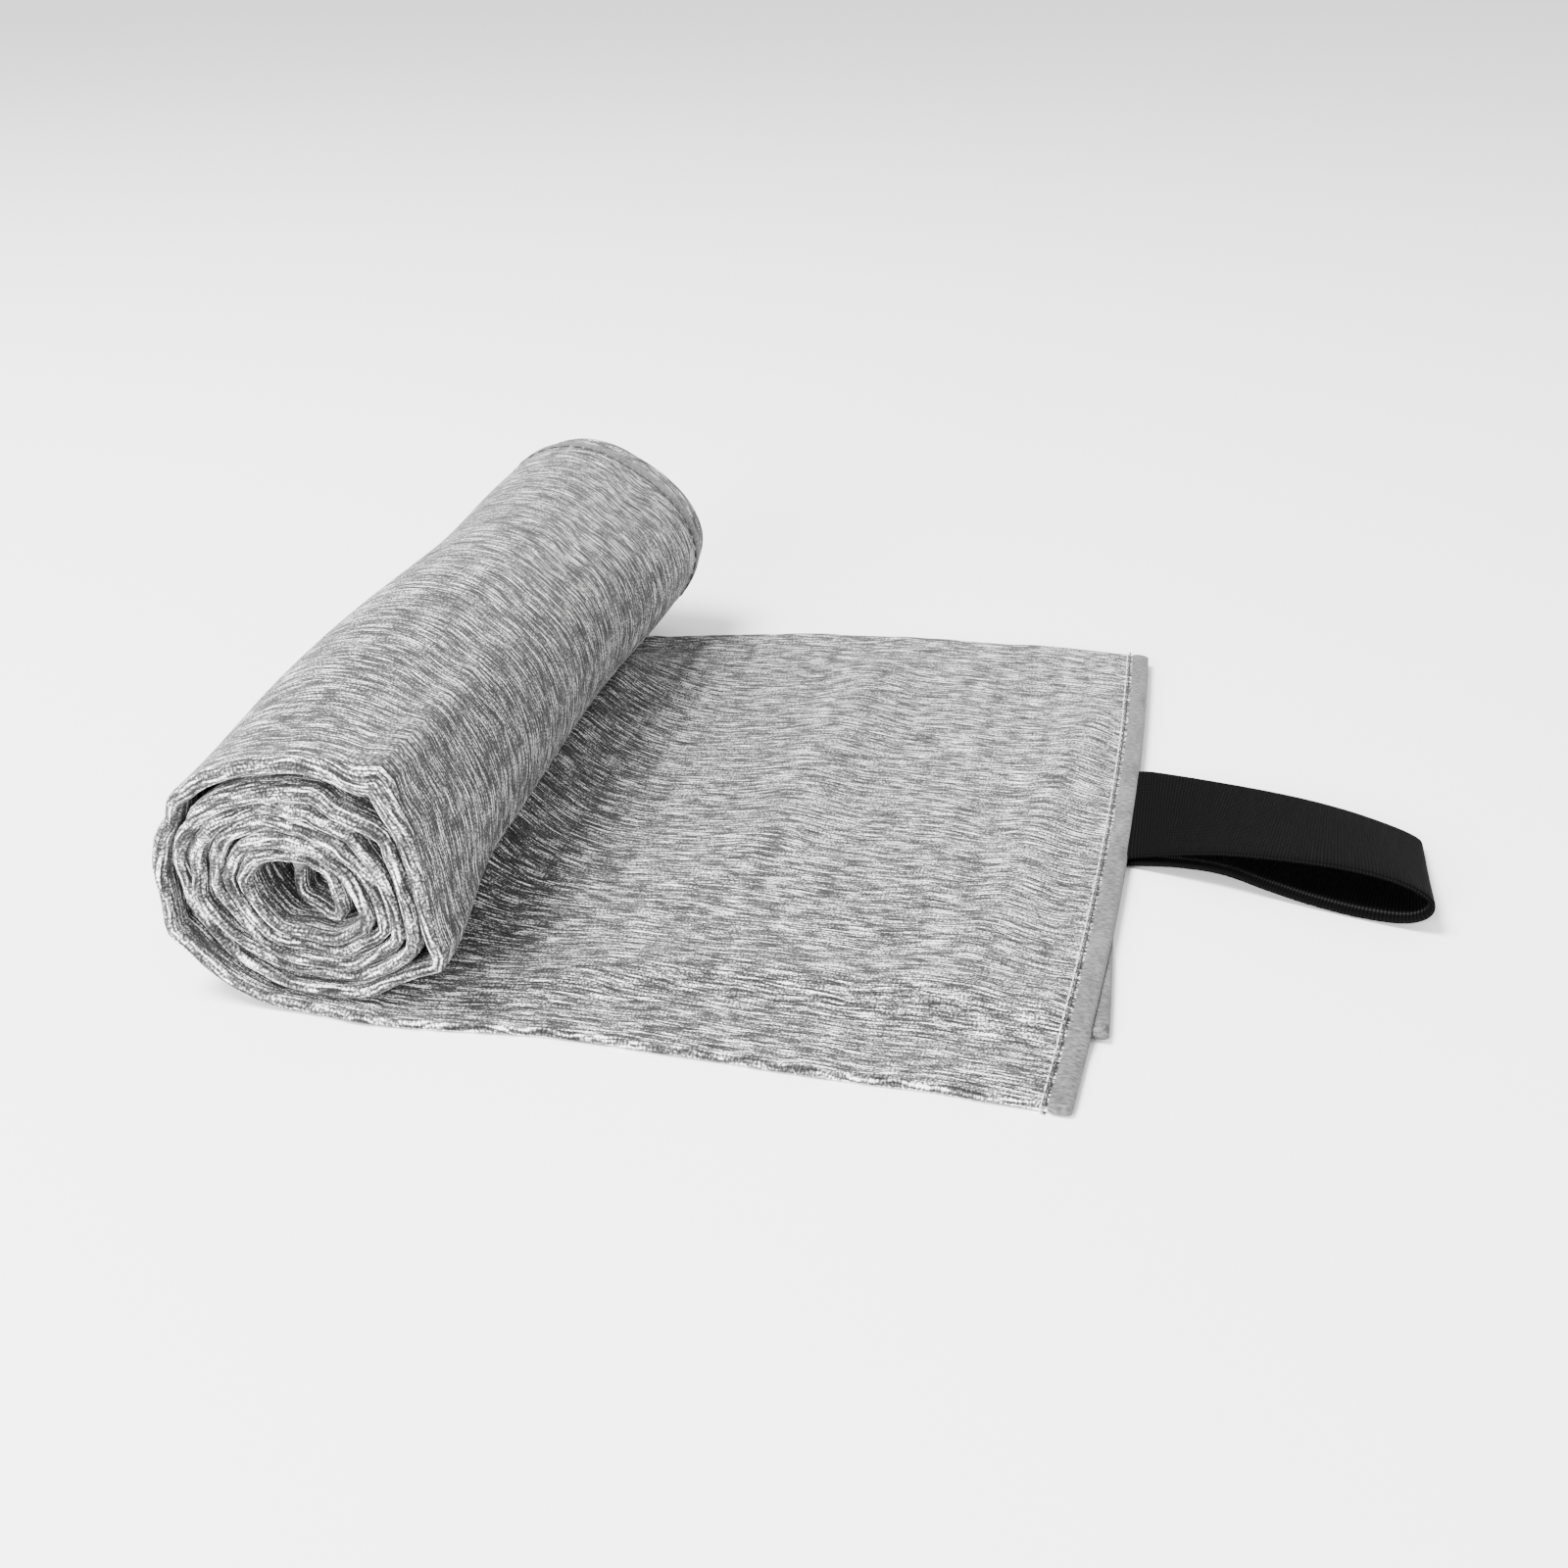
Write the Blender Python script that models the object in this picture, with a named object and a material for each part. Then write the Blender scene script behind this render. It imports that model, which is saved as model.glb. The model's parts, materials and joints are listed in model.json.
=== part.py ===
"""Quick dry towel: folded lengthwise in three, partly rolled up, with an elastic loop on its end hem.

The cloth is a letter fold: a bottom panel, a tucked panel and a top panel, joined by a near fold and a
far fold. The folded strip lies flat on the right and winds clockwise into a roll on the left.
Frame: metres, +Z up, +X from the roll to the loop, +Y away along the roll, origin under the middle.
"""

import math

import bmesh
import bpy
from mathutils import Vector

MM = 0.001

# The folded cloth
FOLD_WIDTH = 180 * MM
CLOTH = 0.7 * MM
LAYER_PITCH = 1.0 * MM
GAP = 0.3 * MM
BOTTOM_EDGE = 173 * MM
TUCKED_EDGE = 20 * MM
FOLD_NOSE = 1.0 * MM
HEM_WIDTH = 4.0 * MM
SEAM_THREAD = 0.5 * MM

# The roll: a spiral whose axis is a little skewed to the end hem
ROLL_RADIUS = 23.5 * MM
WRAP_PITCH = 3.0 * MM
TURNS = 5.75
STEPS_PER_TURN = 20
AXIS_NEAR_X = -16.5 * MM
AXIS_FAR_X = -24.3 * MM
CORE_HEM_TURN = 0.1

# The flat tail
HINGE_X = 11.5 * MM
HEM_END_X = 112 * MM
TUCKED_SKEW = 3.8 * MM
PUFF_START_X = 88 * MM
PUFF_END_X = 102 * MM
PUFF = 1.0 * MM

# The elastic loop, sewn between the top and the tucked panel
ELASTIC = 1.1 * MM
ELASTIC_WIDTH = 38 * MM
ELASTIC_MIDDLE_Y = 98.5 * MM
TAB_START_X = 104 * MM
TAB_END_X = 113 * MM
TAB_THICKNESS = 0.7 * MM
LOOP_AXIS_X = 114.6 * MM
LOOP_SKEW = -0.23
LOOP_CURVE_STEPS = 3
# (distance from the loop's axis, height) along the middle of the elastic, upper run first
LOOP_POINTS = (
    (0, 3.05), (14, 4.6), (28, 7.3), (40, 9.0), (48, 8.4), (52.6, 6.6), (53.9, 4.7),
    (52.6, 2.6), (48.5, 1.15), (42, 0.63), (30, 0.65), (15, 1.1), (0, 1.65),
)

HALF_STACK = CLOTH / 2 + LAYER_PITCH
SPINE_Z = HALF_STACK
ROLL_ANGLE = 2 * math.pi * TURNS
TURN_STEP = 2 * math.pi / STEPS_PER_TURN
SEAM_GAP = SEAM_THREAD + 2 * GAP
CLOTH_END_X = HEM_END_X - HEM_WIDTH - SEAM_GAP

# The box of the whole towel is centred over the origin
LOOP_TIP = max(x for x, z in LOOP_POINTS) * MM + ELASTIC / 2
BOX_RIGHT = LOOP_AXIS_X + LOOP_TIP
HEM_AXIS_X = AXIS_NEAR_X + (AXIS_FAR_X - AXIS_NEAR_X) * BOTTOM_EDGE / FOLD_WIDTH
BOX_LEFT = HEM_AXIS_X - (ROLL_RADIUS - WRAP_PITCH / 4 + HALF_STACK)
CENTRE_X = (BOX_LEFT + BOX_RIGHT) / 2
CENTRE_Y = FOLD_WIDTH / 2

GREY = (0.42, 0.42, 0.42, 1)
HEM_GREY = (0.34, 0.34, 0.34, 1)
THREAD_GREY = (0.2, 0.2, 0.2, 1)
BLACK = (0.012, 0.012, 0.012, 1)


def clear_scene():
    for item in list(bpy.data.objects):
        bpy.data.objects.remove(item)


def finish_material(name, colour, roughness):
    """A plain dielectric finish for one sub-part."""
    material = bpy.data.materials.new(name)
    material.use_nodes = True
    shader = material.node_tree.nodes["Principled BSDF"]
    shader.inputs["Base Color"].default_value = colour
    shader.inputs["Roughness"].default_value = roughness
    shader.inputs["Metallic"].default_value = 0
    return material


def letter_fold(edge_trim, puff=0.0):
    """The middle line of the folded cloth as (y, height) points, from the bottom panel's free edge
    round the near fold and the far fold to the tucked panel's free edge."""
    top = LAYER_PITCH + puff
    near_shoulder = CLOTH / 2 + FOLD_NOSE
    far_shoulder = FOLD_WIDTH - CLOTH / 2 - FOLD_NOSE / 2
    far_nose = FOLD_WIDTH - CLOTH / 2
    return [
        (BOTTOM_EDGE - edge_trim, -LAYER_PITCH),
        (near_shoulder, -LAYER_PITCH),
        (CLOTH / 2, (top - LAYER_PITCH) / 2),
        (near_shoulder, top),
        (far_shoulder, top),
        (far_nose, top / 2),
        (far_shoulder, 0.0),
        (TUCKED_EDGE + edge_trim, 0.0),
    ]


def flat_strip(start_y, end_y, height):
    """The middle line of a narrow strip that lies in one layer of the fold."""
    return [(start_y, height), (end_y, height)]


def thicken(line, thickness):
    """The two sides of a band of even thickness along a line, with mitred corners."""
    left, right = [], []
    for i, point in enumerate(line):
        here = Vector(point)
        before = Vector(line[max(i - 1, 0)])
        after = Vector(line[min(i + 1, len(line) - 1)])
        into = (here - before).normalized() if i > 0 else (after - here).normalized()
        out = (after - here).normalized() if i < len(line) - 1 else into
        across = Vector((-(into + out).y, (into + out).x)).normalized()
        mitre = across.dot(Vector((-into.y, into.x)))
        offset = across * (thickness / 2 / mitre)
        left.append(here + offset)
        right.append(here - offset)
    return left, right


def roll_axis_x(y):
    share = y / FOLD_WIDTH
    return AXIS_NEAR_X + (AXIS_FAR_X - AXIS_NEAR_X) * share


def in_roll(turn):
    """Places a section point at an angle round the roll, counted clockwise from its lowest point."""
    radius = ROLL_RADIUS - WRAP_PITCH * turn / (2 * math.pi)

    def place(y, height):
        reach = radius - height
        x = roll_axis_x(y) - reach * math.sin(turn)
        z = SPINE_Z + ROLL_RADIUS - reach * math.cos(turn)
        return Vector((x - CENTRE_X, y - CENTRE_Y, z))

    return place


def in_flat(x_of):
    """Places a section point in the flat part; x_of gives its distance from y and layer height."""

    def place(y, height):
        return Vector((x_of(y, height) - CENTRE_X, y - CENTRE_Y, SPINE_Z + height))

    return place


def at_x(x):
    return in_flat(lambda y, height: x)


def near_end(x):
    """A place at the towel's end, where the tucked panel slants out past the other two."""

    def slanted(y, height):
        tucked = abs(height) <= CLOTH / 2 + GAP / 10
        return x + (TUCKED_SKEW * (1 - y / FOLD_WIDTH) if tucked else 0.0)

    return in_flat(slanted)


def sweep(name, stations, thickness, material):
    """One closed solid through its stations; each station is (place, middle line)."""
    mesh = bmesh.new()
    rings = []
    for place, line in stations:
        left, right = thicken(line, thickness)
        rings.append((
            [mesh.verts.new(place(*point)) for point in left],
            [mesh.verts.new(place(*point)) for point in right],
        ))
    for (left_a, right_a), (left_b, right_b) in zip(rings, rings[1:]):
        loop_a = left_a + right_a[::-1]
        loop_b = left_b + right_b[::-1]
        for i in range(len(loop_a)):
            j = (i + 1) % len(loop_a)
            mesh.faces.new((loop_a[i], loop_a[j], loop_b[j], loop_b[i]))
    for left, right in (rings[0], rings[-1]):
        for i in range(len(left) - 1):
            mesh.faces.new((left[i], left[i + 1], right[i + 1], right[i]))
    return add_node(name, mesh, material)


def add_node(name, mesh, material, origin=None):
    """Closes a bmesh into a named object whose origin sits at the given point."""
    bmesh.ops.recalc_face_normals(mesh, faces=mesh.faces)
    data = bpy.data.meshes.new(name)
    start = origin or Vector((0, 0, 0))
    bmesh.ops.translate(mesh, verts=mesh.verts, vec=-start)
    mesh.to_mesh(data)
    mesh.free()
    data.materials.append(material)
    node = bpy.data.objects.new(name, data)
    node.location = start
    bpy.context.scene.collection.objects.link(node)
    return node


def roll_turns(start, end):
    """The angles of the stations round the roll, from start to end."""
    count = max(1, round((end - start) / TURN_STEP))
    return [start + (end - start) * i / count for i in range(count + 1)]


def make_roll(knit, hem, thread):
    """The rolled cloth, the lap under it, and the hems that wind with it."""
    core_radius = ROLL_RADIUS - WRAP_PITCH * TURNS
    hem_start = ROLL_ANGLE - 2 * math.pi * CORE_HEM_TURN
    cloth_end = hem_start - GAP / core_radius
    edge_trim = HEM_WIDTH + SEAM_GAP
    cloth_line = letter_fold(edge_trim)
    rolled = [(in_roll(turn), cloth_line) for turn in roll_turns(0.0, cloth_end)]
    sweep("rolled_cloth", rolled, CLOTH, knit)

    lap_end = HINGE_X - GAP / 2
    lap_start = in_flat(lambda y, height: roll_axis_x(y) + GAP)
    sweep("under_lap", [(lap_start, cloth_line), (at_x(lap_end), cloth_line)], CLOTH, knit)

    core_line = letter_fold(0.0)
    core = [(in_roll(turn), core_line) for turn in roll_turns(hem_start, ROLL_ANGLE)]
    sweep("core_end_hem", core, CLOTH, hem)

    places = [at_x(lap_end)] + [in_roll(turn) for turn in roll_turns(0.0, cloth_end)]
    outer_edge = flat_strip(BOTTOM_EDGE - HEM_WIDTH, BOTTOM_EDGE, -LAYER_PITCH)
    sweep("rolled_edge_hem", [(place, outer_edge) for place in places], CLOTH, hem)

    seam_y = BOTTOM_EDGE - HEM_WIDTH - GAP
    outer_seam = flat_strip(seam_y - SEAM_THREAD, seam_y, -LAYER_PITCH)
    sweep("rolled_edge_seam", [(place, outer_seam) for place in places], CLOTH, thread)

    inner_edge = flat_strip(TUCKED_EDGE, TUCKED_EDGE + HEM_WIDTH, 0.0)
    sweep("rolled_tucked_hem", [(place, inner_edge) for place in places], CLOTH, hem)


def make_tail(knit, hem, thread):
    """The flat end of the towel, with its end hem and its long-edge hems."""
    start = HINGE_X + GAP / 2
    trim = HEM_WIDTH + SEAM_GAP
    stations = [
        (at_x(start), letter_fold(trim)),
        (at_x(PUFF_START_X), letter_fold(trim)),
        (at_x(PUFF_END_X), letter_fold(trim, PUFF)),
        (near_end(CLOTH_END_X), letter_fold(trim, PUFF)),
    ]
    sweep("tail_cloth", stations, CLOTH, knit)

    hem_line = letter_fold(0.0, PUFF)
    hem_ends = (near_end(HEM_END_X - HEM_WIDTH), near_end(HEM_END_X))
    sweep("end_hem", [(place, hem_line) for place in hem_ends], CLOTH, hem)

    seam_start = CLOTH_END_X + GAP
    seam_ends = (near_end(seam_start), near_end(seam_start + SEAM_THREAD))
    sweep("end_hem_seam", [(place, hem_line) for place in seam_ends], CLOTH, thread)

    places = (at_x(start), near_end(CLOTH_END_X))
    outer_edge = flat_strip(BOTTOM_EDGE - HEM_WIDTH, BOTTOM_EDGE, -LAYER_PITCH)
    sweep("tail_edge_hem", [(place, outer_edge) for place in places], CLOTH, hem)

    seam_y = BOTTOM_EDGE - HEM_WIDTH - GAP
    outer_seam = flat_strip(seam_y - SEAM_THREAD, seam_y, -LAYER_PITCH)
    sweep("tail_edge_seam", [(place, outer_seam) for place in places], CLOTH, thread)

    inner_edge = flat_strip(TUCKED_EDGE, TUCKED_EDGE + HEM_WIDTH, 0.0)
    sweep("tail_tucked_hem", [(place, inner_edge) for place in places], CLOTH, hem)


def make_loop_anchor(elastic, thread):
    """The sewn ends of the elastic between the panels, and the thread row behind them."""
    y_ends = (ELASTIC_MIDDLE_Y - ELASTIC_WIDTH / 2, ELASTIC_MIDDLE_Y + ELASTIC_WIDTH / 2)
    line = flat_strip(*y_ends, LAYER_PITCH)
    tab = [(at_x(TAB_START_X), line), (at_x(TAB_END_X), line)]
    sweep("elastic_ends", tab, TAB_THICKNESS, elastic)
    row_end = TAB_START_X - GAP
    row = [(at_x(row_end - SEAM_THREAD), line), (at_x(row_end), line)]
    sweep("elastic_seam", row, TAB_THICKNESS, thread)


def smooth_line(points, steps):
    """A Catmull-Rom curve through the points, with the given steps between two of them."""
    ends = [points[0] * 2 - points[1]] + points + [points[-1] * 2 - points[-2]]
    line = []
    for a, b, c, d in zip(ends, ends[1:], ends[2:], ends[3:]):
        for i in range(steps):
            t = i / steps
            line.append(
                0.5 * (2 * b + (c - a) * t + (2 * a - 5 * b + 4 * c - d) * t * t
                       + (3 * b - a - 3 * c + d) * t * t * t)
            )
    line.append(points[-1])
    return line


def make_elastic_loop(elastic):
    """The free loop: one band out along the top, round the tip and back along the bottom."""
    points = [Vector((x * MM, z * MM)) for x, z in LOOP_POINTS]
    left, right = thicken(smooth_line(points, LOOP_CURVE_STEPS), ELASTIC)
    mesh = bmesh.new()
    sides = []
    for edge in (-ELASTIC_WIDTH / 2, ELASTIC_WIDTH / 2):
        rows = []
        for row in (left, right):
            rows.append([
                mesh.verts.new((
                    LOOP_AXIS_X + p.x - CENTRE_X,
                    ELASTIC_MIDDLE_Y + edge + LOOP_SKEW * p.x - CENTRE_Y,
                    p.y,
                ))
                for p in row
            ])
        sides.append(rows)
    (near_left, near_right), (far_left, far_right) = sides
    for i in range(len(left) - 1):
        mesh.faces.new((near_left[i], near_left[i + 1], far_left[i + 1], far_left[i]))
        mesh.faces.new((near_right[i], far_right[i], far_right[i + 1], near_right[i + 1]))
        mesh.faces.new((near_left[i], near_right[i], near_right[i + 1], near_left[i + 1]))
        mesh.faces.new((far_left[i], far_left[i + 1], far_right[i + 1], far_right[i]))
    for i in (0, -1):
        mesh.faces.new((near_left[i], far_left[i], far_right[i], near_right[i]))
    axis = Vector((LOOP_AXIS_X - CENTRE_X, 0, SPINE_Z + LAYER_PITCH))
    node = add_node("elastic_loop", mesh, elastic, axis)
    node.data.shade_smooth()
    node.data.set_sharp_from_angle(angle=math.radians(50))


def main():
    clear_scene()
    knit = finish_material("knit_cloth", GREY, 0.95)
    hem = finish_material("overlocked_hem", HEM_GREY, 0.85)
    thread = finish_material("seam_thread", THREAD_GREY, 0.7)
    elastic = finish_material("woven_elastic", BLACK, 0.8)
    make_roll(knit, hem, thread)
    make_tail(knit, hem, thread)
    make_loop_anchor(elastic, thread)
    make_elastic_loop(elastic)


main()
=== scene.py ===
# %% [markdown]
# # A quick dry towel, half rolled up
#
# The real thing is one piece of soft heather-grey knit, about half a metre wide. It is folded in
# three across its width, like a letter, and then rolled up from one end. The other end still lies
# flat, and a black elastic loop sticks out of it: wound round the roll, the loop keeps it shut.
#
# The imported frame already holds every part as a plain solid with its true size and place. So we
# load the frame first, read all sizes from it, and build the cloth that people will look at.

# %% Load the frame
import json
import math
import bpy
import numpy as np
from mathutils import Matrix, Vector


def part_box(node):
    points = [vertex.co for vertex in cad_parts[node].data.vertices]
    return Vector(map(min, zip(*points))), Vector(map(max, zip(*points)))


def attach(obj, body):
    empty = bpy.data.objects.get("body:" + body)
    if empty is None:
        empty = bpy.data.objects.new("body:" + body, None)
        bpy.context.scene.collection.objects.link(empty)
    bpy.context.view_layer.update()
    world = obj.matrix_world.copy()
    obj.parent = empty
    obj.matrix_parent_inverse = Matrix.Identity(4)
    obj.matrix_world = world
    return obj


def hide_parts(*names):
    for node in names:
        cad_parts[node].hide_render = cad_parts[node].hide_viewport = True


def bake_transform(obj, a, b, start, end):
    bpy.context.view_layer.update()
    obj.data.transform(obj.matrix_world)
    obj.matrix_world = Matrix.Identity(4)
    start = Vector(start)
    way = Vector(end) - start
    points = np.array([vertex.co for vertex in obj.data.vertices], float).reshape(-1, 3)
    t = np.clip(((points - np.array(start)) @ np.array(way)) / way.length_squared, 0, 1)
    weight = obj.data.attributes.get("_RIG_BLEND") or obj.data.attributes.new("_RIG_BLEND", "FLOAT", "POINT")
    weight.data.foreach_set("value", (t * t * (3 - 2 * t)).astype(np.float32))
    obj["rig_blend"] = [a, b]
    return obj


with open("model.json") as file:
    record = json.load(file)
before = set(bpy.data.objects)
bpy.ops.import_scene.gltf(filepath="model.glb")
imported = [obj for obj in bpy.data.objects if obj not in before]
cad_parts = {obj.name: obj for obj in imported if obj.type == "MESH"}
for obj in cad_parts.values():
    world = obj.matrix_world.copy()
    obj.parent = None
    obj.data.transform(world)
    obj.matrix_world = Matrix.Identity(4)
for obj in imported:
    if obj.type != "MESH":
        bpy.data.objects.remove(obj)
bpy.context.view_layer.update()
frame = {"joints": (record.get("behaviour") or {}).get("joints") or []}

# %% [markdown]
# ## Sizes from the frame
#
# We could type the sizes in again, but then two files would have to agree by hand. Instead each
# size is worked out from the boxes of the plain solids. From here on, lengths are in millimetres,
# and a mesh is scaled to metres once, when it is made.

# %% Read the sizes
MM = 0.001


def box_mm(node):
    low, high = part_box(node)
    return low / MM, high / MM


lap_low, lap_high = box_mm("under_lap")
flap_low, flap_high = box_mm("tail_tucked_hem")
side_low, side_high = box_mm("tail_edge_hem")
roll_low, roll_high = box_mm("rolled_cloth")
end_low, _ = box_mm("end_hem")
tab_low, tab_high = box_mm("elastic_ends")
hinge = {j["name"]: Vector(j["pos_m"]) / MM for j in frame["joints"]}
bend_x = hinge["tail_lift"].x
loop_x = hinge["loop_swing"].x

# %% The cloth's thickness and width
FOLD_ROUNDING = 0.1
cloth_thick = flap_high.z - flap_low.z
stack = lap_high.z - lap_low.z
layer = (stack - cloth_thick) / 2
near_y = lap_low.y + FOLD_ROUNDING
far_y = lap_high.y - FOLD_ROUNDING
fold_width = far_y - near_y
bottom_edge_y = side_high.y
tucked_edge_y = flap_low.y
hem_width = side_high.y - side_low.y
end_x = end_low.x + hem_width
print("cloth", round(cloth_thick, 2), "stack of three", round(stack, 2), "folded width", round(fold_width))

# %% The roll's radius and axis
WRAP_GAP = 0.3
wrap_pitch = stack + WRAP_GAP
spine_z = stack / 2
roll_radius = (roll_high.z - spine_z + wrap_pitch / 2 - stack / 2) / 2
axis_z = spine_z + roll_radius
# The spiral is widest a quarter turn (on the left) and three quarters of a turn (on the right) in.
axis_far_x = roll_low.x + (roll_radius - wrap_pitch * 0.25 + stack / 2)
axis_near_x = roll_high.x - (roll_radius - wrap_pitch * 0.75 + stack / 2)
print("roll radius", round(roll_radius, 2), "axis x", round(axis_near_x, 1), "to", round(axis_far_x, 1))

# %% The elastic
elastic_width = tab_high.y - tab_low.y
elastic_mid = (tab_high.y + tab_low.y) / 2
elastic_thick = 1.1
print("elastic", round(elastic_width), "mm wide, flat end of the towel at x", round(end_x, 1))

# %% [markdown]
# ## Camera, floor and light
#
# A towel like this is shown on a white table, seen from a little above. The camera stands in front
# and to the right, so that the rolled end and the flat end are both in view. One lamp would leave
# either the roll's top or its end in the dark, so there are two big soft ones: the main light high
# on the left, and a lower one in front. A bright sky fills the rest, so the shadows stay pale.

# %% Camera
AZIMUTH = math.radians(13.949)
ELEVATION = math.radians(26.393)
CAMERA_DISTANCE = 0.3771
LOOK_AT = Vector((-0.01944, 0.00882, 0.0))

back = Vector((
    math.sin(AZIMUTH) * math.cos(ELEVATION),
    -math.cos(AZIMUTH) * math.cos(ELEVATION),
    math.sin(ELEVATION),
))
camera_data = bpy.data.cameras.new("camera")
camera_data.lens = 41.6
camera_data.sensor_width = 36
camera_data.clip_start = 0.01
camera = bpy.data.objects.new("camera", camera_data)
camera.location = LOOK_AT + back * CAMERA_DISTANCE
camera.rotation_mode = "QUATERNION"
camera.rotation_quaternion = (-back).to_track_quat("-Z", "Y")
bpy.context.scene.collection.objects.link(camera)
bpy.context.scene.camera = camera
print("camera at", [round(v, 3) for v in camera.location])


# %% A helper for a soft lamp
def soft_light(name, place, aim, size, power):
    data = bpy.data.lights.new(name, "AREA")
    data.shape = "DISK"
    data.size = size
    data.energy = power
    lamp = bpy.data.objects.new(name, data)
    lamp.location = place
    lamp.rotation_mode = "QUATERNION"
    lamp.rotation_quaternion = (Vector(aim) - Vector(place)).to_track_quat("-Z", "Y")
    bpy.context.scene.collection.objects.link(lamp)


# %% Table
table_finish = bpy.data.materials.new("white_table")
table_finish.use_nodes = True
shader = table_finish.node_tree.nodes["Principled BSDF"]
shader.inputs["Base Color"].default_value = (0.97, 0.97, 0.97, 1)
shader.inputs["Roughness"].default_value = 0.6

JUST_BELOW = -0.00002
bpy.ops.mesh.primitive_plane_add(size=6, location=(0, 0, JUST_BELOW))
floor = bpy.context.object
floor.name = "table_top"
floor.data.materials.append(table_finish)

# %% Sky and lamps
world = bpy.data.worlds.new("studio")
world.use_nodes = True
world.node_tree.nodes["Background"].inputs["Color"].default_value = (1, 1, 1, 1)
world.node_tree.nodes["Background"].inputs["Strength"].default_value = 1.6
bpy.context.scene.world = world
soft_light("key_light", place=(-0.55, -0.28, 1.2), aim=(0, 0, 0), size=0.6, power=62.0)
soft_light("front_light", place=(-0.35, -1.1, 0.4), aim=(0, 0, 0.02), size=0.5, power=36.0)

# %% [markdown]
# ## Gentle unevenness
#
# No cloth is ever quite regular. Free random numbers would make it jagged, so a small helper gives
# smooth bumps instead: it takes a fixed grid of random numbers and glides between neighbours. The
# seed is fixed, so each run gives the same towel.

# %% Smooth random bumps
LATTICE = 61
lattice = np.random.default_rng(11).uniform(-1, 1, (LATTICE, LATTICE))


def bumps(a, b, shift=0):
    """Smooth values from -1 to 1; the bumps are about one unit of a and b across."""
    a, b = np.broadcast_arrays(np.asarray(a, float) + 7.3 * shift, np.asarray(b, float) + 3.1 * shift)
    ia, ib = np.floor(a).astype(int), np.floor(b).astype(int)
    fa, fb = a - ia, b - ib
    fa, fb = fa * fa * (3 - 2 * fa), fb * fb * (3 - 2 * fb)
    at = lambda i, j: lattice[i % LATTICE, j % LATTICE]
    low = at(ia, ib) * (1 - fa) + at(ia + 1, ib) * fa
    high = at(ia, ib + 1) * (1 - fa) + at(ia + 1, ib + 1) * fa
    return low * (1 - fb) + high * fb


def glide(value, start, end):
    """0 before start, 1 after end, and a smooth step between."""
    t = np.clip((value - start) / (end - start), 0, 1)
    return t * t * (3 - 2 * t)


print("bumps at a few places:", np.round(bumps([0.5, 1.5, 2.5], 0.2), 2))

# %% [markdown]
# ## The line the roll follows
#
# Seen from its end, a rolled towel isn't a perfect spiral. The cloth is soft, so each wrap has a
# few blunt corners with straighter stretches between them. The top sinks in, and the weight pushes
# the wraps out at the lower right. At the very middle the end of the towel stands up in the hollow.
#
# We could draw such a line by hand, point by point, but it would say nothing about why it looks as
# it does. So we start from an even spiral and add those few effects one by one. Directions are in
# degrees from straight down, first to the left. A second line, without the effects, stands for the
# rest of the roll, and each slice of the towel is a mix of the two.

# %% What makes the wraps uneven
FULL_TURN = 360
SAG_TOP = 170
SAG = (3.4, 4.2, 4.4, 4.4, 4.2, 3.5)  # mm at the top, for each wrap from the outside in
BULGE_AT = 330
BULGE = 2.2  # mm, plus the growth with every turn
BULGE_GROWTH = 0.35
# Blunt corners: name, first and last wrap that has it, direction, height in mm, width in degrees
CORNERS = (
    ("lower left", 0, 0, 60, 2.4, 7),
    ("upper left", 0, 3, 120, 1.2, 10),
    ("the ear", 0, 0, 222, 8.4, 15),
    ("beside the ear", 1, 1, 246, 1.5, 14),
    ("lower right", 0, 5, 300, 3.0, 16),
    ("lower right, outer wrap", 0, 0, 300, 2.4, 5),
)


def towards(degrees, centre):
    """1 in the direction of centre, falling to 0 a quarter turn away from it."""
    return max(0.0, math.cos(math.radians(degrees - centre)))


def even_reach(turns):
    """How far an even spiral is from the axis after so many turns, in mm."""
    return roll_radius - wrap_pitch * turns


def uneven_reach(turns):
    """The same for the loose near end, with its sunken top, its bulge and its corners."""
    wrap, degrees = int(turns), (turns % 1) * FULL_TURN
    bulge = (BULGE + BULGE_GROWTH * turns) * towards(degrees, BULGE_AT) ** 2
    reach = even_reach(turns) - SAG[wrap] * towards(degrees, SAG_TOP)
    reach += bulge * float(glide(turns, 0.2, 0.7))
    for _, first, last, corner, height, width in CORNERS:
        away = abs((degrees - corner + 180) % FULL_TURN - 180)
        if first <= wrap <= last:
            reach += height * math.exp(-away / width)
    return reach


print("reach after 0, 1 and 5 turns:", [round(uneven_reach(t), 1) for t in (0, 1, 5)])

# %% From reach to a soft line
CLOSEST = 2.6  # mm, at least, between one wrap and the next
STEP = 6  # degrees
LAST_DEGREES = 5 * FULL_TURN + 264
LEAD_IN = 14.0  # mm of flat towel under the roll, before its line turns up
# The end of the towel in the hollow, as (x, z) from the axis
CORE_END = ((8.0, -6.7), (5.6, -8.6), (2.2, -7.0), (-0.6, -7.2), (-1.4, -4.6), (-0.9, -1.2), (-1.4, 1.2))


def cut_corners(points, rounds):
    """Each round replaces a corner by two points, a quarter of the way along its sides."""
    line = np.array(points, float)
    for _ in range(rounds):
        a, b = line[:-1], line[1:]
        middle = np.stack([a * 0.75 + b * 0.25, a * 0.25 + b * 0.75], 1).reshape(-1, 2)
        line = np.vstack([line[:1], middle, line[-1:]])
    return line


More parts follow.
